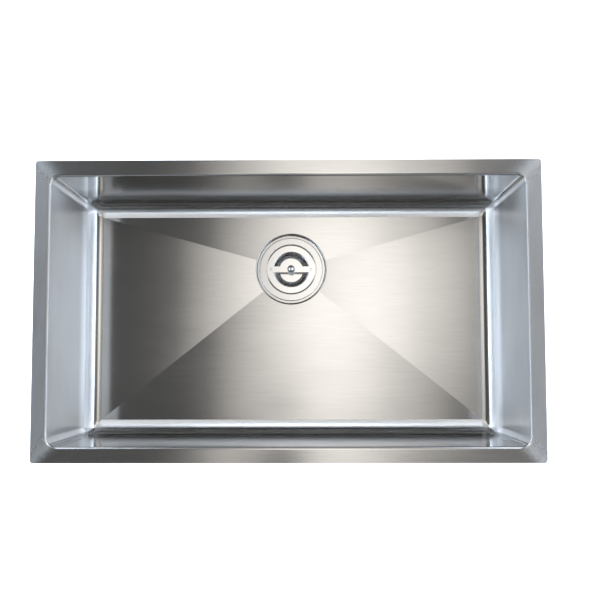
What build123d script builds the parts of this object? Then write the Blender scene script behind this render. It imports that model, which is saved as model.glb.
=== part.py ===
from build123d import *
import os
from math import atan, cos, degrees, radians, tan

# Undermount kitchen sink with one bowl. The bowl is pressed and welded from sheet steel, hangs from
# the worktop by its flat rim, and has a basket strainer in the pressed recess of its creased floor.
# Sizes are in millimetres. The origin is the middle of the opening in the top plane of the rim.
# X runs to the right, Y to the back wall and Z up.

# Bowl
sink_length = 812.8
sink_width = 482.6
rim_width = 25.4
bowl_depth = 254.0
sheet = 1.5
punch_length = 6.0
corner_radius = 15.0
fold_radius = 25.4
rim_bend = 3.0
rim_corner = 4.5

# Floor and drain recess
drain_back = 92.0
floor_fall = 7.0
drain_hole_radius = 45.0
recess_drop = 2.0
recess_land = 4.5
recess_draft = 15.0
recess_bend = 1.0

# Sprayed coat and rubber pads on the outside of the bowl
coat = 0.8
coat_below_rim = 20.0
coat_bend_ease = 0.7
coat_to_recess = 9.0
pad = 3.0
pad_corner = 12.0
pad_gap = 20.0
pad_margin = 30.0
front_pad_length = 170.0
wall_pad_margin = 45.0
wall_pad_to_fold = 15.0

# Strainer body and what clamps it to the sheet
strainer_sheet = 1.2
thread_gap = 0.8
thread_height = 1.0
thread_spare = 4.0
seat_ledge = 5.4
seat_depth = 1.8
flange_width = 12.6
flange_edge_radius = 1.3
lip_gap = 0.3
throat_floor_radius = 8.0
gasket_height = 1.0
gasket_inset = 0.4
gasket_hole_gap = 1.2
washer_width = 15.0
washer_height = 3.0
friction_ring_height = 1.0
fit_gap = 0.2
locknut_width = 10.0
locknut_height = 7.0
lug_count = 8
lug_width = 9.0
lug_height = 4.0
tail_radius = 23.8
tail_wall = 2.3
tail_length = 22.0

# Stamped cross in the outlet
cross_below_seat = 12.0
cross_sheet = 1.5
cross_step = 1.5
cross_ring_width = 3.0
cross_arm_count = 4
cross_arm_width = 4.0
cross_hub_width = 3.0

# Lift-out basket
basket_sheet = 0.9
basket_gap = 1.0
cup_clearance = 9.5
cup_depth = 18.0
cup_taper = 7.5
cup_lip_radius = 2.5
cup_floor_radius = 4.0
hole_radius = 1.9
hole_rows = 2
hole_row_pitch = 5.2
hole_count = 26
handle_width = 11.0
handle_sheet = 1.2
handle_overlap = 8.5
rivet_from_mouth = 5.2
rivet_radius = 1.5
rivet_head_radius = 2.5
rivet_head_height = 0.9
rivet_dome_radius = 0.7
rivet_clinch_radius = 0.3
bush_radius = 5.0
bush_flange_width = 3.0
bush_flange_height = 1.2
bush_below_cup = 2.0
bush_edge_radius = 0.3

# Stem, knob and stopper
stem_radius = 3.0
stem_tip_radius = 2.5
running_gap = 0.08
knob_radius = 6.9
knob_height = 15.0
knob_foot_radius = 4.6
knob_foot_height = 1.3
knob_foot_bend = 1.0
knob_neck_radius = 3.9
knob_above_handle = 0.8
knob_bore_depth = 7.0
stopper_travel = 8.0
stopper_to_bush = 1.5
plate_radius = 20.0
plate_sheet = 1.2
plate_edge_radius = 0.5
seal_overlap = 4.5
seal_height = 3.0
seal_bevel = 1.0
seal_gap = 0.3
stem_nut_across_flats = 8.0
stem_nut_height = 4.0
grip_ring_wire = 0.9
grip_ring_below_cross = 4.0
stem_past_ring = 2.5

# Sizes that follow from the ones above
opening_length = sink_length - 2 * rim_width
opening_width = sink_width - 2 * rim_width
floor_half_length = opening_length / 2 - fold_radius
floor_half_width = opening_width / 2 - fold_radius

thread_radius = drain_hole_radius - thread_gap
throat_radius = thread_radius - thread_height - strainer_sheet
seat_radius = throat_radius + seat_ledge
flange_radius = seat_radius + flange_width
recess_radius = flange_radius + recess_land
coat_hole_radius = recess_radius + coat_to_recess
washer_radius = drain_hole_radius + washer_width
tail_bore = tail_radius - tail_wall

basket_radius = seat_radius - basket_gap
mouth_radius = throat_radius - cup_clearance
cup_floor_edge = mouth_radius - cup_taper
cup_slope = atan(cup_taper / cup_depth)
rivet_place = mouth_radius + rivet_from_mouth
seal_radius = tail_bore + seal_overlap
grip_ring_radius = stem_tip_radius + grip_ring_wire

# Levels, from the rim's top plane down
recess_z = -(bowl_depth + floor_fall + recess_drop)
ledge_z = recess_z + gasket_height + strainer_sheet
flange_z = ledge_z + seat_depth
basket_rim_z = ledge_z + basket_sheet
handle_z = basket_rim_z + handle_sheet
cup_z = basket_rim_z - cup_depth
cup_under_z = cup_z - basket_sheet
bush_end_z = cup_under_z - bush_below_cup
shoulder_z = bush_end_z - stopper_to_bush - stopper_travel
seal_top_z = shoulder_z - plate_sheet
seal_under_z = seal_top_z - seal_height
seat_z = seal_under_z - seal_gap
body_under_z = seat_z - strainer_sheet
tail_end_z = body_under_z - tail_length
cross_z = seat_z - cross_below_seat
washer_top_z = recess_z - sheet
washer_under_z = washer_top_z - washer_height
locknut_top_z = washer_under_z - friction_ring_height
locknut_under_z = locknut_top_z - locknut_height
thread_end_z = locknut_under_z - thread_spare
ring_z = cross_z - grip_ring_below_cross
stem_end_z = ring_z - stem_past_ring
knob_foot_z = handle_z + knob_above_handle
knob_top_z = knob_foot_z + knob_height

at_drain = Pos(0, drain_back, 0)


def turned(points, radii):
    """Body of revolution about the drain's axis from (radius, height) points and corner radii."""
    outline = FilletPolyline(*points, radius=radii, close=True)
    return at_drain * revolve(Plane.XZ * make_face(outline), Axis.Z)


def ring(inner, outer, low, high):
    """Flat ring about the drain's axis."""
    flat = Circle(outer) - Circle(inner)
    return at_drain * Pos(0, 0, low) * extrude(flat, amount=high - low)


def basin(grow, ease=0.0):
    """Bowl form with every face moved out by grow and every bend tightened by ease."""
    height = bowl_depth + grow
    block = Pos(0, 0, -height / 2) * Box(opening_length + 2 * grow, opening_width + 2 * grow, height)
    block = fillet(block.faces().sort_by(Axis.Z)[0].edges(), fold_radius + grow - ease)
    return fillet(block.edges().filter_by(Axis.Z), corner_radius + grow - ease)


def floor_facets(grow):
    """Shallow upside-down pyramid: four flat facets that fall from the folds to the drain."""
    z = -(bowl_depth + grow)
    x, y = floor_half_length, floor_half_width
    corners = [(-x, -y, z), (x, -y, z), (x, y, z), (-x, y, z)]
    tip = (0, drain_back, z - floor_fall)
    faces = [make_face(Polyline(*corners, close=True))]
    for start, end in zip(corners, corners[1:] + corners[:1]):
        faces.append(make_face(Polyline(start, end, tip, close=True)))
    return Solid(Shell(faces))


def recess(grow):
    """Round pressing around the drain, with a drawn side, moved out by grow."""
    draft = radians(recess_draft)
    height = floor_fall + recess_drop
    foot = recess_radius + grow / cos(draft) - grow * tan(draft)
    middle = recess_z - grow + height / 2
    return at_drain * Pos(0, 0, middle) * Cone(foot, foot + height * tan(draft), height)


def bowl_form(grow):
    """All of the space that the bowl's inside fills, moved out by grow."""
    return basin(grow) + floor_facets(grow) + recess(grow)


def round_recess(bowl, side, foot_radius, brow_radius):
    """Round the recess's foot and brow on one side of the sheet."""
    bowl = fillet(side.edges().filter_by(GeomType.CIRCLE), foot_radius)
    cones = bowl.faces().filter_by(GeomType.CONE)
    side = cones.sort_by(lambda face: (face.center() - side.center()).length)[0]
    return fillet(side.edges().filter_by(GeomType.ELLIPSE), brow_radius)


def make_sink_bowl():
    """One sheet: flat rim, walls, folds, creased floor, drain recess and its hole."""
    rim = extrude(RectangleRounded(sink_length, sink_width, rim_corner), amount=-sheet)
    drain_hole = at_drain * Pos(0, 0, recess_z) * Cylinder(drain_hole_radius, punch_length)
    bowl = rim + bowl_form(sheet) - bowl_form(0.0) - drain_hole
    opening = bowl.faces().sort_by(Axis.Z)[-1].inner_wires()[0]
    bowl = fillet(opening.edges(), rim_bend + sheet)
    under_rim = bowl.faces().filter_by(Plane.XY).sort_by(lambda face: abs(face.center().Z + sheet))[0]
    bowl = fillet(under_rim.inner_wires()[0].edges(), rim_bend)
    inside = bowl.faces().filter_by(GeomType.CONE).sort_by(Axis.Z)[-1]
    bowl = round_recess(bowl, inside, recess_bend, recess_bend + sheet)
    outside = bowl.faces().filter_by(GeomType.CONE).sort_by(Axis.Z)[0]
    return round_recess(bowl, outside, recess_bend + sheet, recess_bend)


def make_undercoat():
    """Sprayed skin: flat against the walls and the floor, a little off the steel in the bends."""
    inner = sheet
    outer = sheet + coat
    skin = basin(outer, coat_bend_ease) + floor_facets(outer)
    skin -= basin(inner, coat_bend_ease) + floor_facets(inner)
    bare_band = Pos(0, 0, -coat_below_rim / 2) * Box(sink_length, sink_width, coat_below_rim)
    bare_ring = at_drain * Pos(0, 0, recess_z) * Cylinder(coat_hole_radius, bowl_depth)
    return skin - bare_band - bare_ring


def make_floor_pad(x_low, x_high, y_low, y_high):
    """Rubber sheet that lies against the coat and follows the floor's facets."""
    outline = RectangleRounded(x_high - x_low, y_high - y_low, pad_corner)
    middle = Pos((x_low + x_high) / 2, (y_low + y_high) / 2, -(bowl_depth + sheet + coat + pad))
    column = extrude(middle * outline, amount=pad, dir=(0, 0, 1))
    column += extrude(middle * outline, amount=floor_fall + pad, dir=(0, 0, -1))
    slab = floor_slab(sheet + coat + pad) - floor_slab(sheet + coat)
    return column & slab


def floor_slab(grow):
    """Facets with a block on top, so that two of them leave a layer of even thickness."""
    block = Pos(0, 0, -(bowl_depth + grow) + pad)
    return block * Box(2 * floor_half_length, 2 * floor_half_width, 2 * pad) + floor_facets(grow)


def make_wall_pad(turn, wall_distance, half_width):
    """Rubber sheet on the coat of one wall, turned to that wall about the vertical axis."""
    top = -wall_pad_margin
    bottom = -(bowl_depth - fold_radius - wall_pad_to_fold)
    face = Plane(
        origin=(wall_distance + sheet + coat, 0, (top + bottom) / 2),
        x_dir=(0, 1, 0),
        z_dir=(1, 0, 0),
    )
    outline = face * RectangleRounded(2 * half_width, top - bottom, pad_corner)
    return Rot(0, 0, turn) * extrude(outline, amount=pad)


def make_strainer_body():
    """Pressed drain cup: rolled flange, seat ledge, threaded throat, floor and threaded tail."""
    under = strainer_sheet
    profile = [
        ((flange_radius, recess_z + lip_gap), 0),
        ((flange_radius, flange_z), flange_edge_radius),
        ((seat_radius, flange_z), flange_edge_radius / 2),
        ((seat_radius, ledge_z), 0),
        ((throat_radius, ledge_z), flange_edge_radius),
        ((throat_radius, seat_z), throat_floor_radius),
        ((tail_bore, seat_z), under / 2),
        ((tail_bore, cross_z), 0),
        ((tail_bore - cross_step, cross_z), 0),
        ((tail_bore - cross_step, tail_end_z), 0),
        ((tail_radius, tail_end_z), under / 2),
        ((tail_radius, body_under_z), 0),
        ((throat_radius + under, body_under_z), throat_floor_radius + under),
        ((throat_radius + under, thread_end_z), 0),
        ((thread_radius, thread_end_z), thread_height / 2),
        ((thread_radius, ledge_z - under), 0),
        ((seat_radius + under, ledge_z - under), 0),
        ((seat_radius + under, flange_z - under), 0),
        ((flange_radius - under, flange_z - under), 0),
        ((flange_radius - under, recess_z + lip_gap), 0),
    ]
    return turned(*zip(*profile))


def make_flange_gasket():
    """Foam ring: fills the space under the rolled flange and packs the seat ledge."""
    inner = drain_hole_radius + gasket_hole_gap
    step = seat_radius + strainer_sheet + gasket_inset
    outer = flange_radius - strainer_sheet - gasket_inset
    top = flange_z - strainer_sheet
    profile = [
        ((inner, recess_z), 0),
        ((outer, recess_z), 0),
        ((outer, top), 0),
        ((step, top), 0),
        ((step, recess_z + gasket_height), 0),
        ((inner, recess_z + gasket_height), 0),
    ]
    return turned(*zip(*profile))


def make_rubber_washer():
    """Seal between the underside of the recess and the nut."""
    return ring(thread_radius + fit_gap, washer_radius, washer_under_z, washer_top_z)


def make_friction_ring():
    """Fibre ring that lets the nut turn without dragging the washer."""
    return ring(thread_radius + fit_gap, washer_radius - gasket_inset, locknut_top_z, washer_under_z)


def make_locknut():
    """Ring nut with lugs for a wrench around its rim."""
    rim = thread_radius + locknut_width
    flat = Circle(rim) - Circle(thread_radius + fit_gap)
    nut = Pos(0, 0, locknut_under_z) * extrude(flat, amount=locknut_height)
    lug = Pos(rim, 0, (locknut_under_z + locknut_top_z) / 2) * Box(lug_height, lug_width, locknut_height)
    lug = fillet(lug.edges().filter_by(Axis.Z), lug_height / 4)
    for index in range(lug_count):
        nut += Rot(0, 0, 360 * index / lug_count) * lug
    return at_drain * nut


def make_outlet_cross():
    """Stamped cross on the step inside the tail: its hub guides and grips the stem."""
    rim = tail_bore - fit_gap
    hub_bore = grip_ring_radius + fit_gap
    flat = Circle(rim) - Circle(rim - cross_ring_width)
    arm = Rectangle(rim - cross_ring_width / 2, cross_arm_width, align=(Align.MIN, Align.CENTER))
    for index in range(cross_arm_count):
        flat += Rot(0, 0, 360 * index / cross_arm_count) * arm
    flat += Circle(hub_bore + cross_hub_width)
    flat -= Circle(hub_bore)
    return at_drain * Pos(0, 0, cross_z) * extrude(flat, amount=cross_sheet)


def make_basket_cup():
    """Flat rim and dished cup: two rows of holes in the steep wall, plain floor, hole for the bush."""
    wall = basket_sheet / cos(cup_slope) - basket_sheet * tan(cup_slope)
    profile = [
        ((basket_radius, ledge_z), 0),
        ((basket_radius, basket_rim_z), basket_sheet / 2),
        ((mouth_radius, basket_rim_z), cup_lip_radius),
        ((cup_floor_edge, cup_z), cup_floor_radius),
        ((bush_radius, cup_z), 0),
        ((bush_radius, cup_under_z), 0),
        ((cup_floor_edge + wall, cup_under_z), cup_floor_radius + basket_sheet),
        ((mouth_radius + wall, ledge_z), cup_lip_radius - basket_sheet),
    ]
    cup = turned(*zip(*profile))
    punch = Rot(0, 90 + degrees(cup_slope), 0) * Cylinder(hole_radius, punch_length)
    holes = []
    for row in range(hole_rows):
        drop = cup_depth / 2 + (row - (hole_rows - 1) / 2) * hole_row_pitch * cos(cup_slope)
        reach = mouth_radius - drop * tan(cup_slope) + basket_sheet / 2
        placed = Pos(reach, 0, basket_rim_z - drop) * punch
        for index in range(hole_count):
            holes.append(at_drain * Rot(0, 0, 360 * (index + row / 2) / hole_count) * placed)
    for side in (-1, 1):
        rivet_hole = Cylinder(rivet_radius + fit_gap / 2, punch_length)
        holes.append(at_drain * Pos(side * rivet_place, 0, ledge_z) * rivet_hole)
    return cup - holes


def make_basket_handle():
    """Flat strap with round ends across the cup's mouth, from 3 to 9 o'clock."""
    flat = SlotOverall(2 * (mouth_radius + handle_overlap), handle_width)
    flat -= Circle(stem_radius + 2 * fit_gap)
    for side in (-1, 1):
        flat -= Pos(side * rivet_place, 0) * Circle(rivet_radius + fit_gap / 2)
    return at_drain * Pos(0, 0, basket_rim_z) * extrude(flat, amount=handle_sheet)


def make_handle_rivets():
    """Two rivets through the strap and the rim: domed heads above, flat clinches below."""
    profile = [
        ((0, ledge_z - rivet_head_height), 0),
        ((rivet_head_radius, ledge_z - rivet_head_height), rivet_clinch_radius),
        ((rivet_head_radius, ledge_z), 0),
        ((rivet_radius, ledge_z), 0),
        ((rivet_radius, handle_z), 0),
        ((rivet_head_radius, handle_z), 0),
        ((rivet_head_radius, handle_z + rivet_head_height), rivet_dome_radius),
        ((0, handle_z + rivet_head_height), 0),
    ]
    rivet = turned(*zip(*profile))
    return [Pos(side * rivet_place, 0, 0) * rivet for side in (-1, 1)]


def make_guide_bush():
    """Plastic bush in the cup's floor: flange above, barrel below, running fit on the stem."""
    bore = stem_radius + running_gap
    barrel = bush_radius - running_gap
    profile = [
        ((bore, bush_end_z), 0),
        ((barrel, bush_end_z), bush_edge_radius),
        ((barrel, cup_z), 0),
        ((bush_radius + bush_flange_width, cup_z), 0),
        ((bush_radius + bush_flange_width, cup_z + bush_flange_height), bush_flange_height / 2),
        ((bore, cup_z + bush_flange_height), 0),
    ]
    return turned(*zip(*profile))


def make_stem():
    """Turned post: shoulder for the stopper plate, thinner tip with a groove for the grip ring."""
    groove = grip_ring_wire / 2
    profile = [
        ((0, knob_foot_z + knob_bore_depth), 0),
        ((stem_radius, knob_foot_z + knob_bore_depth), groove),
        ((stem_radius, shoulder_z), 0),
        ((stem_tip_radius, shoulder_z), 0),
        ((stem_tip_radius, ring_z + grip_ring_wire), 0),
        ((stem_tip_radius - groove, ring_z + grip_ring_wire), 0),
        ((stem_tip_radius - groove, ring_z - grip_ring_wire), 0),
        ((stem_tip_radius, ring_z - grip_ring_wire), 0),
        ((stem_tip_radius, stem_end_z), groove),
        ((0, stem_end_z), 0),
    ]
    return turned(*zip(*profile))


def make_knob():
    """Turned pull: flared foot, waist and ball, with a blind bore for the stem."""
    ball_z = knob_top_z - knob_radius
    waist_z = (knob_foot_z + ball_z - knob_radius / 2) / 2
    outline = FilletPolyline(
        (knob_foot_radius, knob_foot_z),
        (knob_foot_radius, knob_foot_z + knob_foot_height),
        (knob_neck_radius, waist_z),
        (knob_neck_radius, ball_z),
        radius=[knob_foot_bend, knob_neck_radius],
    )
    floor = Line((0, knob_foot_z), (knob_foot_radius, knob_foot_z))
    top = Line((knob_neck_radius, ball_z), (0, ball_z))
    axis = Line((0, ball_z), (0, knob_foot_z))
    shank = at_drain * revolve(Plane.XZ * make_face([outline, floor, top, axis]), Axis.Z)
    knob = shank + at_drain * Pos(0, 0, ball_z) * Sphere(knob_radius)
    bore = at_drain * Pos(0, 0, knob_foot_z) * Cylinder(stem_radius, 2 * knob_bore_depth)
    return knob - bore


def make_stopper_plate():
    """Steel disc that backs the seal, clamped against the stem's shoulder."""
    profile = [
        ((stem_tip_radius, seal_top_z), 0),
        ((plate_radius, seal_top_z), 0),
        ((plate_radius, shoulder_z), plate_edge_radius),
        ((stem_tip_radius, shoulder_z), 0),
    ]
    return turned(*zip(*profile))


def make_stopper_seal():
    """Rubber disc, wider than the plate, bevelled where it meets the floor of the strainer body."""
    profile = [
        ((stem_tip_radius, seal_under_z), 0),
        ((seal_radius - seal_bevel, seal_under_z), 0),
        ((seal_radius, seal_under_z + seal_bevel), 0),
        ((seal_radius, seal_top_z - seal_bevel), 0),
        ((seal_radius - seal_bevel, seal_top_z), 0),
        ((stem_tip_radius, seal_top_z), 0),
    ]
    return turned(*zip(*profile))


def make_stem_nut():
    """Hexagon nut that clamps the seal and its plate against the stem's shoulder."""
    hexagon = RegularPolygon(stem_nut_across_flats / 2, 6, major_radius=False) - Circle(stem_tip_radius)
    return at_drain * Pos(0, 0, seal_under_z) * extrude(hexagon, amount=-stem_nut_height)


def make_grip_ring():
    """Spring ring in the stem's groove, a close fit in the hub of the outlet cross."""
    groove_floor = stem_tip_radius - grip_ring_wire / 2
    return ring(groove_floor, grip_ring_radius, ring_z - grip_ring_wire, ring_z + grip_ring_wire)


side_pad_start = front_pad_length / 2 + pad_gap
side_pad_end = floor_half_length - pad_margin
pad_front = -(floor_half_width - pad_margin)
front_pad_end = drain_back - coat_hole_radius - pad_gap
wall_pad_half_width = opening_width / 2 - wall_pad_margin
wall_pad_half_length = opening_length / 2 - wall_pad_margin

parts = {
    "sink_bowl": make_sink_bowl(),
    "undercoat": make_undercoat(),
    "floor_pad_left": make_floor_pad(-side_pad_end, -side_pad_start, pad_front, -pad_front),
    "floor_pad_right": make_floor_pad(side_pad_start, side_pad_end, pad_front, -pad_front),
    "floor_pad_front": make_floor_pad(-front_pad_length / 2, front_pad_length / 2, pad_front, front_pad_end),
    "wall_pad_right": make_wall_pad(0, opening_length / 2, wall_pad_half_width),
    "wall_pad_back": make_wall_pad(90, opening_width / 2, wall_pad_half_length),
    "wall_pad_left": make_wall_pad(180, opening_length / 2, wall_pad_half_width),
    "wall_pad_front": make_wall_pad(270, opening_width / 2, wall_pad_half_length),
    "strainer_body": make_strainer_body(),
    "flange_gasket": make_flange_gasket(),
    "rubber_washer": make_rubber_washer(),
    "friction_ring": make_friction_ring(),
    "locknut": make_locknut(),
    "outlet_cross": make_outlet_cross(),
    "basket_cup": make_basket_cup(),
    "basket_handle": make_basket_handle(),
    "handle_rivets": make_handle_rivets(),
    "guide_bush": make_guide_bush(),
    "stem": make_stem(),
    "knob": make_knob(),
    "stopper_plate": make_stopper_plate(),
    "stopper_seal": make_stopper_seal(),
    "stem_nut": make_stem_nut(),
    "grip_ring": make_grip_ring(),
}

os.makedirs("parts", exist_ok=True)
for name, part in parts.items():
    solids = part if isinstance(part, list) else part.solids()
    export_step(Compound(children=list(solids)) if len(solids) > 1 else solids[0], f"parts/{name}.step")
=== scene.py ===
from math import cos, pi, radians, sin
from types import SimpleNamespace

import bpy
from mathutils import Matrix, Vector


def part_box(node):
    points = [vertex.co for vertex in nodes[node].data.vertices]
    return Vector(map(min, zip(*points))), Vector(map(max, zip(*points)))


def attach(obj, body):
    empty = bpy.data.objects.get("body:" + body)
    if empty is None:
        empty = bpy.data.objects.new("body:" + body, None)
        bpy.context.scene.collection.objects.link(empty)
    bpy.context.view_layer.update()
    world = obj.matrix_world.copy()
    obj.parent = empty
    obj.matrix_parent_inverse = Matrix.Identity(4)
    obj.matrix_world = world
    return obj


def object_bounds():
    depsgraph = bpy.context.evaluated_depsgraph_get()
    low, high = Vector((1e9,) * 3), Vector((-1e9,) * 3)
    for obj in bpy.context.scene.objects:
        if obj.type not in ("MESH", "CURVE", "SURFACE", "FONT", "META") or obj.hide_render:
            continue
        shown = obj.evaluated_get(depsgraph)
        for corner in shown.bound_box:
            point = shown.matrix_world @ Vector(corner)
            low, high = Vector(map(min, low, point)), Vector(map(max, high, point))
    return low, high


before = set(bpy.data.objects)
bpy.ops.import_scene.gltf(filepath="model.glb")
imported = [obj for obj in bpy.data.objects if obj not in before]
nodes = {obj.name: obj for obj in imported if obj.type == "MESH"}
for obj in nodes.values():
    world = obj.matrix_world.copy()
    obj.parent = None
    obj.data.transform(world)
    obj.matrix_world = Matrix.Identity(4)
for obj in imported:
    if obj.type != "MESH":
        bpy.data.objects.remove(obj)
cad_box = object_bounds()
scene = bpy.context.scene

# Sizes of the solids that the looks follow, in metres
RIM = 0.0254
FOLD = 0.0254
DEPTH = 0.254
OUTER_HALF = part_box("sink_bowl")[1]
OPENING_HALF = (OUTER_HALF.x - RIM, OUTER_HALF.y - RIM)
FLOOR_HALF = (OPENING_HALF[0] - FOLD, OPENING_HALF[1] - FOLD)
FOLD_TOP = FOLD - DEPTH
strainer_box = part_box("strainer_body")
DRAIN_Y = (strainer_box[0].y + strainer_box[1].y) / 2
TAIL_END = strainer_box[0].z

# Threads on the strainer's throat and tail, in metres
THREAD_PITCH = 0.0016
THREAD_HEIGHT = 0.0005
THREAD_HALF_BASE = 0.45 * THREAD_PITCH
THREAD_SUNK = 0.0002
THREAD_STEPS = 72
TAIL_THREAD_LENGTH = 0.0095
TAIL_END_TO_THROAT_THREAD = 0.0385
TAIL_RADIUS = 0.0238
THROAT_RADIUS = 0.0442

# Camera: place, turn and lens of the photograph's viewpoint, in metres, degrees and millimetres
CAMERA_PLACE = (0.0331, -0.0808, 1.3567)
CAMERA_TURN = (4.05, 0.59, -0.10)
CAMERA_LENS = 51.37
SENSOR = 36.0

# Studio, in metres: colours of the ceiling's light, its half sizes and height, and the room round it
WARM = (1.00, 0.97, 0.93)
COOL = (0.79, 0.92, 1.09)
PALE = (0.96, 0.98, 1.02)
CEILING_HALF_X = 5.0
CEILING_HALF_Y = 6.0
CEILING_HEIGHT = 1.42
STUDIO_FLOOR_HALF = 6.0
ROOM_COLOUR = (0.84, 0.93, 1.06)
ROOM_LIGHT = 0.9

# Brightness of the ceiling's warm middle along X. Along Y, the front turns into the back over MIDDLE_TURN
MIDDLE_BACK = [
    (-1.60, 0.12),
    (-1.00, 0.08),
    (-0.55, 0.07),
    (-0.45, 0.09),
    (-0.35, 0.17),
    (-0.25, 0.55),
    (-0.15, 0.95),
    (-0.05, 1.35),
    (0.05, 1.52),
    (0.17, 1.55),
    (0.27, 1.38),
    (0.35, 1.10),
    (0.45, 0.88),
    (0.53, 0.64),
    (0.59, 0.32),
    (0.68, 0.22),
    (0.95, 0.20),
    (1.60, 0.12),
]
MIDDLE_FRONT = [
    (-1.60, 0.10),
    (-0.60, 0.09),
    (-0.46, 0.12),
    (-0.40, 0.20),
    (-0.33, 0.42),
    (-0.27, 0.74),
    (-0.21, 0.74),
    (-0.13, 0.34),
    (-0.08, 0.02),
    (-0.03, 0.02),
    (0.02, 0.62),
    (0.06, 1.10),
    (0.10, 1.20),
    (0.18, 1.20),
    (0.27, 0.92),
    (0.35, 0.60),
    (0.42, 0.40),
    (0.50, 0.28),
    (0.65, 0.26),
    (0.85, 0.20),
    (1.60, 0.10),
]
MIDDLE_TURN = (-0.30, -0.20)
# Along Y: a factor on the middle
MIDDLE_ALONG = [
    (-6.00, 0.05),
    (-1.60, 0.15),
    (-1.00, 0.40),
    (-0.60, 0.80),
    (-0.40, 1.00),
    (-0.25, 0.95),
    (-0.12, 0.94),
    (-0.02, 1.20),
    (0.08, 1.25),
    (0.20, 1.27),
    (0.35, 1.17),
    (0.58, 0.98),
    (0.75, 0.50),
    (1.00, 0.20),
    (6.00, 0.05),
]
# Brightness of the pale light from far before and behind the sink, along Y
FAR_WALLS = [
    (-6.00, 0.45),
    (-3.00, 0.30),
    (-2.40, 0.15),
    (-1.90, 0.00),
    (0.80, 0.00),
    (1.10, 0.20),
    (1.40, 0.28),
    (2.30, 0.32),
    (3.00, 0.60),
    (6.00, 0.70),
]
# Brightness of the cool windows at both sides, along X
WINDOWS = [
    (-5.00, 4.60),
    (-2.60, 4.60),
    (-2.25, 2.30),
    (-2.00, 0.70),
    (-1.75, 0.20),
    (-1.45, 0.00),
    (1.25, 0.00),
    (1.45, 0.40),
    (1.75, 1.80),
    (2.05, 3.00),
    (2.60, 3.50),
    (5.00, 3.50),
]
# Along Y: a factor on the windows
WINDOWS_ALONG = [
    (-6.00, 0.00),
    (-1.90, 0.00),
    (-1.20, 1.70),
    (-0.50, 1.60),
    (-0.25, 1.05),
    (-0.05, 1.00),
    (0.20, 1.25),
    (1.20, 1.20),
    (6.00, 0.80),
]
# How much nearer to the middle the windows come behind the sink and in front of it, and where along Y
NEARER_BACK = 0.9
NEARER_BACK_ALONG = (0.6, 1.1)
NEARER_FRONT = 0.60
NEARER_FRONT_ALONG = (-0.9, -0.4)

# Colours of the bowl's sheet: light and dark grain, a painted highlight in the long folds, and painted light
# on the low side walls and in the upper side folds
STEEL_LIGHT = (0.655, 0.643, 0.626)
STEEL_DARK = (0.560, 0.550, 0.536)
STEEL_FOLD_HIGHLIGHT = (0.990, 0.950, 0.905)
STEEL_LOW_SIDE_LIGHT = (0.740, 0.740, 0.740)
STEEL_UPPER_FOLD_LIGHT = (0.860, 0.860, 0.860)
# Painted shade along Z: a factor on the colour of the back wall and of the front wall with their folds
BACK_SHADE = [
    (-0.250, 0.95),
    (-0.205, 0.90),
    (-0.175, 0.22),
    (-0.140, 0.18),
    (-0.100, 0.60),
    (0.000, 0.64),
]
FRONT_SHADE = [
    (-0.250, 0.95),
    (-0.220, 0.90),
    (-0.195, 0.34),
    (-0.150, 0.20),
    (-0.100, 0.22),
    (0.000, 0.30),
]
# Painted shade: the same factor for the left and right walls, and for their flanges
SIDE_SHADE = 0.86
SIDE_FLANGE_SHADE = 0.66
# The grain's noise turns STEEL_DARK into STEEL_LIGHT between these
SHEET_CLOUDS = (0.22, 0.78)

# Roughness of the sheet. The folds have one value above POLISH_TOP and one below it, and the grain scales all
FLOOR_BLUR = 0.17
LONG_WALL_BLUR = 0.08
SIDE_WALL_BLUR = 0.36
SIDE_FLANGE_BLUR = 0.30
LONG_FOLD_BLUR = (0.24, 0.45)
SIDE_FOLD_BLUR = (0.38, 0.13)
FOLD_START_BLUR = 0.21
GRAIN_DEPTH = (0.80, 1.0)

# Where the parts of the bowl end, as the start and end of a soft step: heights, and widths at the corners
FLANGE_FROM = (-0.004, -0.001)
# LOW_WALL: where the painted light on the low side walls fades out
LOW_WALL = (-0.215, -0.180)
POLISH_TOP = (-0.2505, -0.2485)
FOLD_START = (-0.2538, -0.2533)
CORNER_TURN = (-0.004, 0.004)
# FRONT_TO_BACK: along Y, where the front wall's painted shade turns into the back wall's
FRONT_TO_BACK = (-0.02, 0.02)
FLANGE_TURN = 0.045
WALL_TURN = 0.004

# In the shading the floor's facets lean to the left or right FACET_LEAN times as much.
# FLAT: the soft step in the normal's upward part that picks out the facets
FACET_LEAN = 1.9
FLAT = (0.995, 0.998)

# Grain of the sheet: bumps to a metre, detail, and how dense they are along the grain
FINE_GRAIN = (900, 3.0, 0.02)
BROAD_GRAIN = (26, 4.0, 0.3)
# Points of haze to a metre
HAZE_POINTS = 10000.0

# Drain, in metres: where the painted shade in the joint round the basket's rim starts and ends along radius,
# height and round
JOINT_INSIDE = (0.0444, 0.0454)
JOINT_OUTSIDE = (0.0468, 0.0478)
JOINT_BOTTOM = (-0.2650, -0.2635)
JOINT_ROUND = (0.15, 0.6)
# Strength of the painted shade in the joint, and its colour, which the knob's grip grooves share
JOINT_SHADE_STRENGTH = 0.9
PAINTED_SHADE_COLOUR = (0.05, 0.05, 0.05)
# The turn-up of the basket's floor
TURN_UP_INSIDE = (0.0240, 0.0255)
TURN_UP_OUTSIDE = (0.0265, 0.0300)
TURN_UP_TOP = -0.270
TURN_UP_BLUR = 0.55
# How much bluer than grey the black rubber is
RUBBER_BLUE = 0.001
# Turning marks and smudges to a metre, and the least radius that is divided by
TURNED_RINGS = 2600
SMUDGES = 120
LEAST_RADIUS = 0.001
# Grip grooves round the knob, with painted shade in them
GRIP_PITCH = 0.0011
GRIP_DEPTH = 0.0002


def grey(value):
    """Colour or vector of three like values."""
    return (value, value, value)


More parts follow.
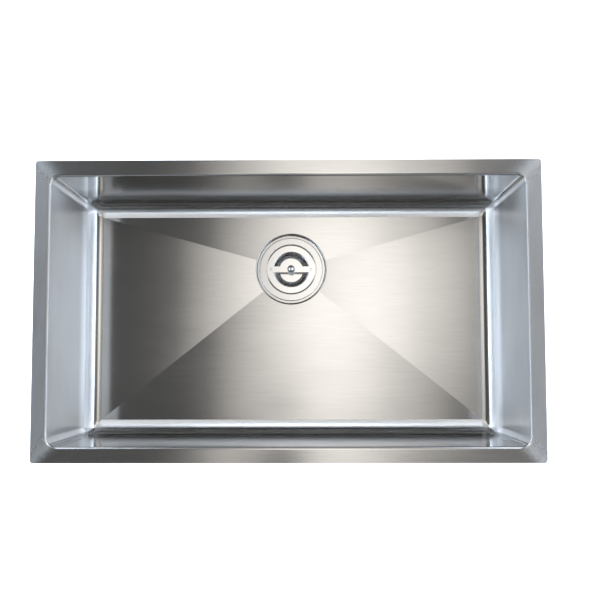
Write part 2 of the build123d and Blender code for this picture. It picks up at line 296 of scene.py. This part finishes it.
class Look:
    """One material: its principled shader, its object coordinates and short ways to add nodes."""

    def __init__(self, name, base, roughness, settings=None):
        self.material = bpy.data.materials.new(name)
        self.material.use_nodes = True
        self.tree = self.material.node_tree
        self.shader = self.tree.nodes["Principled BSDF"]
        self.set("Base Color", base)
        self.set("Roughness", roughness)
        for socket, value in (settings or {}).items():
            self.set(socket, value)
        self.place = self.node("ShaderNodeTexCoord").outputs["Object"]
        self.x, self.y, self.z = self.node("ShaderNodeSeparateXYZ", self.place).outputs

    def feed(self, socket, value):
        """Link the value to the socket, or set the socket to it."""
        if isinstance(value, bpy.types.NodeSocket):
            self.tree.links.new(value, socket)
        elif isinstance(value, tuple) and socket.type == "RGBA":
            socket.default_value = (*value, 1)
        else:
            socket.default_value = value

    def set(self, name, value):
        """Feed one input of the shader."""
        self.feed(self.shader.inputs[name], value)

    def node(self, kind, *inputs, **settings):
        """New node with its settings, its first inputs fed in order."""
        node = self.tree.nodes.new(kind)
        for key, value in settings.items():
            setattr(node, key, value)
        for socket, value in zip(node.inputs, inputs):
            self.feed(socket, value)
        return node

    def node_with(self, kind, inputs, **settings):
        """New node with its settings, its inputs fed by name."""
        node = self.node(kind, **settings)
        for name, value in inputs.items():
            self.feed(node.inputs[name], value)
        return node

    def math(self, operation, *values):
        """Result of one sum on floats."""
        return self.node("ShaderNodeMath", *values, operation=operation).outputs[0]

    def vector(self, operation, *values):
        """Result of one sum on vectors."""
        return self.node("ShaderNodeVectorMath", *values, operation=operation).outputs[0]

    def product(self, first, *others):
        """All the floats multiplied."""
        for other in others:
            first = self.math("MULTIPLY", first, other)
        return first

    def most(self, first, *others):
        """The largest of the floats."""
        for other in others:
            first = self.math("MAXIMUM", first, other)
        return first

    def rest(self, value):
        """What the value lacks to 1."""
        return self.math("SUBTRACT", 1.0, value)

    def scaled(self, vector, factor):
        """Vector or colour times a float."""
        inputs = {"Vector": vector, "Scale": factor}
        return self.node_with("ShaderNodeVectorMath", inputs, operation="SCALE").outputs[0]

    def joined(self, *values):
        """Vector of up to three floats."""
        return self.node("ShaderNodeCombineXYZ", *values).outputs[0]

    def step(self, value, low, high):
        """0 below low, 1 above high and a smooth rise between them."""
        node = self.node("ShaderNodeMapRange", value, low, high, interpolation_type="SMOOTHSTEP")
        return node.outputs[0]

    def span(self, value, low, high):
        """Stretch a value of 0 to 1 to low to high."""
        return self.math("MULTIPLY_ADD", value, high - low, low)

    def mix(self, kind, factor, a, b):
        """Mix of two floats, vectors or colours."""
        node = self.node("ShaderNodeMix", data_type=kind)
        sockets = [socket for socket in node.inputs if socket.enabled]
        for socket, value in zip(sockets, (factor, a, b)):
            self.feed(socket, value)
        return next(socket for socket in node.outputs if socket.enabled)

    def blend(self, first, second, share):
        """Mix of two floats with that share of the second."""
        return self.mix("FLOAT", share, first, second)

    def bands(self, axis, low, high, stops, colour=(1, 1, 1)):
        """The colour along an axis from low to high, as bright as the (place, brightness) stops say."""
        peak = max(value for place, value in stops)
        length = high - low
        ramp = self.node("ShaderNodeValToRGB", self.math("MULTIPLY_ADD", axis, 1 / length, -low / length))
        elements = ramp.color_ramp.elements
        while len(elements) < len(stops):
            elements.new(0.5)
        for element, (place, value) in zip(elements, stops):
            element.position = (place - low) / length
            element.color = (*(value / peak * part for part in colour), 1)
        return self.scaled(ramp.outputs["Color"], peak)

    def noise(self, per_metre, detail=2.0, stretch=(1, 1, 1), place=None):
        """Noise of 0 to 1 with that many bumps to a metre, drawn out where an axis has less than 1."""
        place = self.vector("MULTIPLY", self.place if place is None else place, stretch)
        inputs = {"Vector": place, "Scale": per_metre, "Detail": detail}
        return self.node_with("ShaderNodeTexNoise", inputs).outputs[0]

    def cells(self, per_metre):
        """Distance to the nearest point of a random lattice."""
        inputs = {"Vector": self.place, "Scale": per_metre}
        return self.node_with("ShaderNodeTexVoronoi", inputs, feature="F1").outputs["Distance"]

    def colour(self, factor, low, high):
        """Base colour between two colours by the factor."""
        self.set("Base Color", self.mix("RGBA", factor, low, high))

    def roughness(self, factor, low, high):
        """Roughness between two values by the factor."""
        self.set("Roughness", self.span(factor, low, high))

    def bump(self, height, distance):
        """Relief of that many metres for a height of 1."""
        inputs = {"Strength": 1.0, "Distance": distance, "Height": height}
        self.set("Normal", self.node_with("ShaderNodeBump", inputs).outputs[0])


class TurnedLook(Look):
    """Turned or spun metal: fine rings round the drain's axis, and faint smudges.

    Its radius is the distance from the axis. Its round is 0 at left and right and 1 at front and back."""

    def __init__(self, name, low, high, gloss):
        super().__init__(name, low, gloss[0], {"Metallic": 1.0})
        from_axis = self.math("SUBTRACT", self.y, DRAIN_Y)
        flat = self.joined(self.x, from_axis)
        self.radius = self.node("ShaderNodeVectorMath", flat, operation="LENGTH").outputs["Value"]
        away = self.math("MAXIMUM", self.radius, LEAST_RADIUS)
        self.round = self.math("DIVIDE", self.math("ABSOLUTE", from_axis), away)
        rings = self.noise(TURNED_RINGS, place=self.joined(self.radius, self.z))
        smudge = self.noise(SMUDGES, detail=4.0)
        self.tone = self.mix("RGBA", self.blend(rings, smudge, share=0.5), low, high)
        self.gloss = self.span(self.blend(rings, smudge, share=0.6), *gloss)
        self.set("Base Color", self.tone)
        self.set("Roughness", self.gloss)

    def joint_shade(self):
        """Painted shade in the joint between basket rim and seat, faint at the left and right where light
        catches it.
        """
        inside = self.step(self.radius, *JOINT_INSIDE)
        outside = self.rest(self.step(self.radius, *JOINT_OUTSIDE))
        high = self.step(self.z, *JOINT_BOTTOM)
        joint_painted_shade = self.product(inside, outside, self.step(self.round, *JOINT_ROUND), high, JOINT_SHADE_STRENGTH)
        self.colour(joint_painted_shade, self.tone, PAINTED_SHADE_COLOUR)


def make_plane(name, half_x, half_y, z):
    """Flat piece of the studio."""
    mesh = bpy.data.meshes.new(name)
    corners = [(-half_x, -half_y, z), (half_x, -half_y, z), (half_x, half_y, z), (-half_x, half_y, z)]
    mesh.from_pydata(corners, [], [(0, 1, 2, 3)])
    plane = bpy.data.objects.new(name, mesh)
    scene.collection.objects.link(plane)
    return plane


def make_ceiling():
    """Warm light over the sink, a cool window along each side, and pale light far before and behind it."""
    look = Look("studio_ceiling", base=grey(0), roughness=1.0)

    def along_x(axis, stops, colour):
        return look.bands(axis, -CEILING_HALF_X, CEILING_HALF_X, stops, colour)

    def along_y(stops, colour=(1, 1, 1)):
        return look.bands(look.y, -CEILING_HALF_Y, CEILING_HALF_Y, stops, colour)

    back = along_x(look.x, MIDDLE_BACK, WARM)
    front = along_x(look.x, MIDDLE_FRONT, WARM)
    middle = look.mix("VECTOR", look.step(look.y, *MIDDLE_TURN), front, back)
    middle = look.vector("MULTIPLY", middle, along_y(MIDDLE_ALONG))
    behind = look.step(look.y, *NEARER_BACK_ALONG)
    before = look.rest(look.step(look.y, *NEARER_FRONT_ALONG))
    nearer = look.math("MULTIPLY_ADD", behind, NEARER_BACK, look.span(before, 1.0, 1.0 + NEARER_FRONT))
    windows = along_x(look.product(look.x, nearer), WINDOWS, COOL)
    windows = look.vector("MULTIPLY", windows, along_y(WINDOWS_ALONG))
    light = look.vector("ADD", look.vector("ADD", middle, windows), along_y(FAR_WALLS, PALE))
    look.set("Emission Color", light)
    look.set("Emission Strength", 1.0)
    ceiling = make_plane("studio_ceiling", CEILING_HALF_X, CEILING_HALF_Y, CEILING_HEIGHT)
    ceiling.data.materials.append(look.material)


def make_room():
    """Light ceiling, a pale floor and a plain pale room round them."""
    make_ceiling()
    floor = make_plane("studio_floor", STUDIO_FLOOR_HALF, STUDIO_FLOOR_HALF, cad_box[0].z)
    glow = {"Emission Color": grey(1), "Emission Strength": 1.0}
    look = Look("studio_floor", base=grey(0.9), roughness=0.9, settings=glow)
    floor.data.materials.append(look.material)
    world = bpy.data.worlds.new("room")
    world.use_nodes = True
    world.node_tree.nodes["Background"].inputs["Color"].default_value = (*ROOM_COLOUR, 1)
    world.node_tree.nodes["Background"].inputs["Strength"].default_value = ROOM_LIGHT
    scene.world = world


def make_camera():
    """Camera at the photograph's viewpoint."""
    data = bpy.data.cameras.new("photo_camera")
    data.sensor_width = SENSOR
    data.lens = CAMERA_LENS
    camera = bpy.data.objects.new("photo_camera", data)
    camera.location = CAMERA_PLACE
    camera.rotation_euler = [radians(angle) for angle in CAMERA_TURN]
    scene.collection.objects.link(camera)
    scene.camera = camera


def bowl_parts(look):
    """Parts of the bowl as factors of 0 to 1. Side is the left and right walls, with folds and flanges."""
    far = [look.math("ABSOLUTE", axis) for axis in (look.x, look.y)]
    past_floor = [look.math("SUBTRACT", far[i], FLOOR_HALF[i]) for i in (0, 1)]
    past_wall = [look.math("SUBTRACT", far[i], OPENING_HALF[i]) for i in (0, 1)]
    off_floor = look.math("GREATER_THAN", look.most(*past_floor), 0.0)
    flange = look.step(look.z, *FLANGE_FROM)
    turn_width = look.span(flange, WALL_TURN, FLANGE_TURN)
    toward_side = look.math("SUBTRACT", *past_wall)
    side = look.product(look.step(toward_side, look.product(turn_width, -1.0), turn_width), off_floor)
    fold = look.product(look.math("LESS_THAN", look.z, FOLD_TOP), off_floor)
    above_polish = look.step(look.z, *POLISH_TOP)
    # The lower folds: polished in their roughness, with a painted highlight in their colour
    polish_and_highlight = look.product(fold, look.rest(above_polish))
    # The low side walls, below LOW_WALL, get painted light in their colour
    low_wall = look.rest(look.step(look.z, *LOW_WALL))
    return SimpleNamespace(
        off_floor=off_floor,
        flange=flange,
        side=side,
        fold=fold,
        polish_and_highlight=polish_and_highlight,
        wall=look.math("SUBTRACT", off_floor, flange),
        corner=look.product(look.step(look.math("MINIMUM", *past_floor), *CORNER_TURN), fold),
        upper_fold=look.product(fold, side, above_polish),
        fold_start=look.product(fold, side, look.rest(look.step(look.z, *FOLD_START))),
        low_side_light=look.product(low_wall, side, look.rest(polish_and_highlight)),
    )


def leaned_normal(look, part):
    """Normal whose lean to the left or right is stronger on the floor's facets."""
    normal = look.node("ShaderNodeNewGeometry").outputs["Normal"]
    to_side, _, up = look.node("ShaderNodeSeparateXYZ", normal).outputs
    facet = look.product(look.step(up, *FLAT), look.rest(part.off_floor))
    lean = look.joined(look.product(to_side, FACET_LEAN - 1, facet))
    return look.vector("NORMALIZE", look.vector("ADD", normal, lean))


def blur_direction(look, part, normal):
    """Direction that reflections are drawn out in: across the grain, along it in folds, any way in haze."""
    turn = look.product(look.math("SIGN", look.x), look.math("SIGN", look.y), -1.0)
    grain = look.mix("VECTOR", part.side, (1, 0, 0), look.joined(0.0, turn))
    blur = look.mix("VECTOR", part.fold, look.vector("CROSS_PRODUCT", normal, grain), grain)
    side_flange = look.product(part.flange, part.side)
    hazy = look.most(part.corner, part.upper_fold, side_flange, part.fold_start)
    random = look.node_with("ShaderNodeTexWhiteNoise", {"Vector": look.scaled(look.place, HAZE_POINTS)})
    swirl = look.vector("SUBTRACT", random.outputs["Color"], grey(0.5))
    return look.mix("VECTOR", hazy, blur, swirl)


def sheet_grain(look, part, per_metre, detail, share):
    """Noise drawn out along X, and along Y on the sides."""
    long_grain = look.noise(per_metre, detail, (share, 1, 1))
    side_grain = look.noise(per_metre, detail, (1, share, 1))
    return look.mix("FLOAT", part.side, long_grain, side_grain)


def sheet_colour(look, part, clouds):
    """Clouded steel with painted shade wall by wall, painted light on the low side walls and upper side
    folds, and a painted highlight in the long folds.
    """
    front, back = (look.bands(look.z, -DEPTH, 0.0, stops) for stops in (FRONT_SHADE, BACK_SHADE))
    long_wall = look.mix("RGBA", look.step(look.y, *FRONT_TO_BACK), front, back)
    long_shade = look.mix("FLOAT", part.wall, 1.0, long_wall)
    side_shade = look.span(part.flange, SIDE_SHADE, SIDE_FLANGE_SHADE)
    sheet = look.mix("RGBA", look.step(clouds, *SHEET_CLOUDS), STEEL_DARK, STEEL_LIGHT)
    sheet = look.scaled(sheet, look.mix("FLOAT", part.side, long_shade, side_shade))
    sheet = look.mix("RGBA", part.low_side_light, sheet, STEEL_LOW_SIDE_LIGHT)
    sheet = look.mix("RGBA", part.upper_fold, sheet, STEEL_UPPER_FOLD_LIGHT)
    return look.mix("RGBA", look.product(part.polish_and_highlight, look.rest(part.side)), sheet, STEEL_FOLD_HIGHLIGHT)


def sheet_roughness(look, part):
    """Roughness of floor, walls, flanges and folds."""
    long_blur = look.span(part.wall, FLOOR_BLUR, LONG_WALL_BLUR)
    side_blur = look.span(part.flange, SIDE_WALL_BLUR, SIDE_FLANGE_BLUR)
    satin = look.mix("FLOAT", part.side, long_blur, side_blur)
    long_fold, side_fold = (look.span(part.polish_and_highlight, *blur) for blur in (LONG_FOLD_BLUR, SIDE_FOLD_BLUR))
    folded = look.mix("FLOAT", part.side, long_fold, side_fold)
    folded = look.mix("FLOAT", part.fold_start, folded, FOLD_START_BLUR)
    return look.mix("FLOAT", part.fold, satin, folded)


def bowl_steel():
    """Satin sheet: grain along X, along Y on the sides, and polished across in the folds."""
    look = Look("bowl_steel", STEEL_LIGHT, FLOOR_BLUR, settings={"Metallic": 1.0, "Anisotropic": 1.0})
    part = bowl_parts(look)
    normal = leaned_normal(look, part)
    look.set("Normal", normal)
    look.set("Tangent", blur_direction(look, part, normal))
    fine, broad = (sheet_grain(look, part, *grain) for grain in (FINE_GRAIN, BROAD_GRAIN))
    look.set("Base Color", sheet_colour(look, part, look.blend(fine, broad, share=0.5)))
    grain_depth = look.span(look.math("ADD", fine, broad), *GRAIN_DEPTH)
    look.set("Roughness", look.product(sheet_roughness(look, part), grain_depth))
    return look.material


def undercoat():
    """Grey sprayed skin with pebbles of about 2 mm."""
    look = Look("undercoat", base=grey(0.17), roughness=0.9)
    pebbles = look.rest(look.cells(per_metre=420))
    cloud = look.noise(per_metre=14, detail=3.0)
    look.colour(look.blend(cloud, pebbles, share=0.35), low=grey(0.12), high=grey(0.22))
    look.roughness(look.noise(per_metre=300), low=0.72, high=0.95)
    look.bump(look.blend(pebbles, look.noise(per_metre=1600), share=0.3), distance=0.0007)
    return look.material


def rubber(name, low, high, gloss, grain):
    """Black rubber with that many grains to a metre, and dust that lies in soft patches.

    Low and high are how grey it is where it is clean and where it is dusty."""
    low, high = ((shade, shade, shade + RUBBER_BLUE) for shade in (low, high))
    look = Look(name, base=low, roughness=gloss)
    dust = look.product(look.noise(per_metre=60, detail=4.0), look.noise(per_metre=700))
    look.colour(look.step(dust, low=0.15, high=0.45), low, high)
    look.roughness(look.noise(per_metre=grain * 0.3), low=gloss - 0.1, high=gloss + 0.12)
    look.bump(look.noise(per_metre=grain, detail=3.0), distance=0.00012)
    return look.material


def gasket_foam():
    """Closed-cell foam: small round pores, darkened with painted shade."""
    look = Look("gasket_foam", base=grey(0.15), roughness=0.95)
    pores = look.step(look.cells(per_metre=2200), low=0.15, high=0.5)
    look.colour(pores, low=grey(0.07), high=grey(0.19))
    look.roughness(look.noise(per_metre=500), low=0.85, high=1.0)
    look.bump(pores, distance=0.0003)
    return look.material


def ring_fibre():
    """Pressed brown fibre board: short flecks and a waxy film."""
    look = Look("ring_fibre", base=(0.5, 0.4, 0.27), roughness=0.7)
    flecks = look.noise(per_metre=1400, detail=4.0, stretch=(1, 0.25, 1))
    look.colour(look.step(flecks, low=0.3, high=0.7), low=(0.36, 0.25, 0.14), high=(0.60, 0.46, 0.30))
    look.roughness(look.noise(per_metre=250), low=0.55, high=0.8)
    look.bump(flecks, distance=0.00015)
    return look.material


def nut_metal():
    """Cast and plated: a dull skin with small pits and soft darker patches."""
    look = Look("nut_metal", base=grey(0.6), roughness=0.42, settings={"Metallic": 1.0})
    pits = look.step(look.cells(per_metre=900), low=0.05, high=0.3)
    patches = look.blend(look.noise(per_metre=90, detail=4.0), pits, share=0.4)
    look.colour(patches, low=(0.46, 0.46, 0.45), high=(0.68, 0.68, 0.67))
    look.roughness(look.noise(per_metre=160, detail=3.0), low=0.3, high=0.55)
    look.bump(look.blend(pits, look.noise(per_metre=1200), share=0.4), distance=0.0001)
    return look.material


def strainer_steel():
    """Spun steel, with painted shade in the joint round the basket."""
    look = TurnedLook("strainer_steel", low=(0.60, 0.59, 0.58), high=(0.70, 0.69, 0.68), gloss=(0.16, 0.28))
    look.joint_shade()
    return look.material


def basket_steel():
    """Polished pressing, satin where the cup's floor turns up, with painted shade in the joint round its rim.
    """
    look = TurnedLook("basket_steel", low=(0.61, 0.60, 0.59), high=(0.70, 0.69, 0.68), gloss=(0.12, 0.22))
    look.joint_shade()
    inside = look.step(look.radius, *TURN_UP_INSIDE)
    outside = look.rest(look.step(look.radius, *TURN_UP_OUTSIDE))
    turn_up = look.product(inside, outside, look.math("LESS_THAN", look.z, TURN_UP_TOP))
    look.set("Roughness", look.mix("FLOAT", turn_up, look.gloss, TURN_UP_BLUR))
    return look.material


def stem_steel():
    """Plain turned steel."""
    look = TurnedLook("stem_steel", low=(0.58, 0.57, 0.56), high=(0.72, 0.71, 0.70), gloss=(0.14, 0.30))
    return look.material


def knob_chrome():
    """Bright top, and a side turned with fine grip grooves darkened with painted shade."""
    look = TurnedLook("knob_chrome", low=(0.78, 0.78, 0.79), high=(0.86, 0.86, 0.87), gloss=(0.04, 0.12))
    normal = look.node("ShaderNodeNewGeometry").outputs["Normal"]
    up = look.node("ShaderNodeSeparateXYZ", normal).outputs[2]
    flank = look.rest(look.step(up, low=0.55, high=0.88))
    wave = look.math("SINE", look.product(look.z, 2 * pi / GRIP_PITCH))
    groove_with_painted_shade = look.product(flank, look.step(wave, low=-0.7, high=0.1))
    look.colour(groove_with_painted_shade, look.tone, PAINTED_SHADE_COLOUR)
    look.bump(groove_with_painted_shade, GRIP_DEPTH)
    return look.material


def bush_plastic():
    """Off-white moulded plastic with a soft grain."""
    look = Look("bush_plastic", base=(0.8, 0.8, 0.77), roughness=0.45)
    look.colour(look.noise(per_metre=200, detail=3.0), low=(0.72, 0.71, 0.67), high=(0.83, 0.82, 0.79))
    look.roughness(look.noise(per_metre=900), low=0.38, high=0.55)
    look.bump(look.noise(per_metre=2500), distance=0.00005)
    return look.material


def make_thread(name, radius, low, high):
    """Helical ridge of triangular section round the drain's axis, closed at both ends."""
    section = [(0.0, -THREAD_HALF_BASE), (THREAD_HEIGHT, 0.0), (0.0, THREAD_HALF_BASE)]
    section = [(-THREAD_SUNK, -THREAD_HALF_BASE), *section, (-THREAD_SUNK, THREAD_HALF_BASE)]
    low, high = low + THREAD_PITCH / 2, high - THREAD_PITCH / 2
    count = round(THREAD_STEPS * (high - low) / THREAD_PITCH)
    verts, faces = [], []
    for step in range(count + 1):
        angle = 2 * pi * step / THREAD_STEPS
        rise = low + (high - low) * step / count
        for out, up in section:
            verts.append(((radius + out) * cos(angle), DRAIN_Y + (radius + out) * sin(angle), rise + up))
    size = len(section)
    for step in range(count):
        first, second = step * size, (step + 1) * size
        for i in range(size):
            j = (i + 1) % size
            faces.append((first + i, second + i, second + j, first + j))
    faces.append(tuple(range(size)))
    faces.append(tuple(count * size + i for i in reversed(range(size))))
    mesh = bpy.data.meshes.new(name)
    mesh.from_pydata(verts, [], faces)
    thread = bpy.data.objects.new(name, mesh)
    scene.collection.objects.link(thread)
    thread.data.materials.append(materials["strainer_steel"])
    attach(thread, "sink")


scene.view_settings.view_transform = "Standard"
make_room()
make_camera()

materials = {
    "bowl_steel": bowl_steel(),
    "undercoat": undercoat(),
    "pad_rubber": rubber("pad_rubber", low=0.020, high=0.055, gloss=0.75, grain=900),
    "strainer_steel": strainer_steel(),
    "gasket_foam": gasket_foam(),
    "washer_rubber": rubber("washer_rubber", low=0.018, high=0.045, gloss=0.62, grain=1800),
    "ring_fibre": ring_fibre(),
    "nut_metal": nut_metal(),
    "basket_steel": basket_steel(),
    "bush_plastic": bush_plastic(),
    "stem_steel": stem_steel(),
    "knob_chrome": knob_chrome(),
    "seal_rubber": rubber("seal_rubber", low=0.016, high=0.040, gloss=0.55, grain=2200),
}
SLOT_NODES = {
    "bowl_steel": ["sink_bowl"],
    "undercoat": ["undercoat"],
    "pad_rubber": [name for name in nodes if "_pad_" in name],
    "strainer_steel": ["strainer_body", "outlet_cross"],
    "gasket_foam": ["flange_gasket"],
    "washer_rubber": ["rubber_washer"],
    "ring_fibre": ["friction_ring"],
    "nut_metal": ["locknut"],
    "basket_steel": ["basket_cup", "basket_handle", "handle_rivets"],
    "bush_plastic": ["guide_bush"],
    "stem_steel": ["stem", "stopper_plate", "stem_nut", "grip_ring"],
    "knob_chrome": ["knob"],
    "seal_rubber": ["stopper_seal"],
}
for slot, names in SLOT_NODES.items():
    for name in names:
        nodes[name].data.materials.clear()
        nodes[name].data.materials.append(materials[slot])

nut_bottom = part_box("locknut")[0].z
make_thread("throat_thread", THROAT_RADIUS, TAIL_END + TAIL_END_TO_THROAT_THREAD, nut_bottom)
make_thread("tail_thread", TAIL_RADIUS, TAIL_END, TAIL_END + TAIL_THREAD_LENGTH)
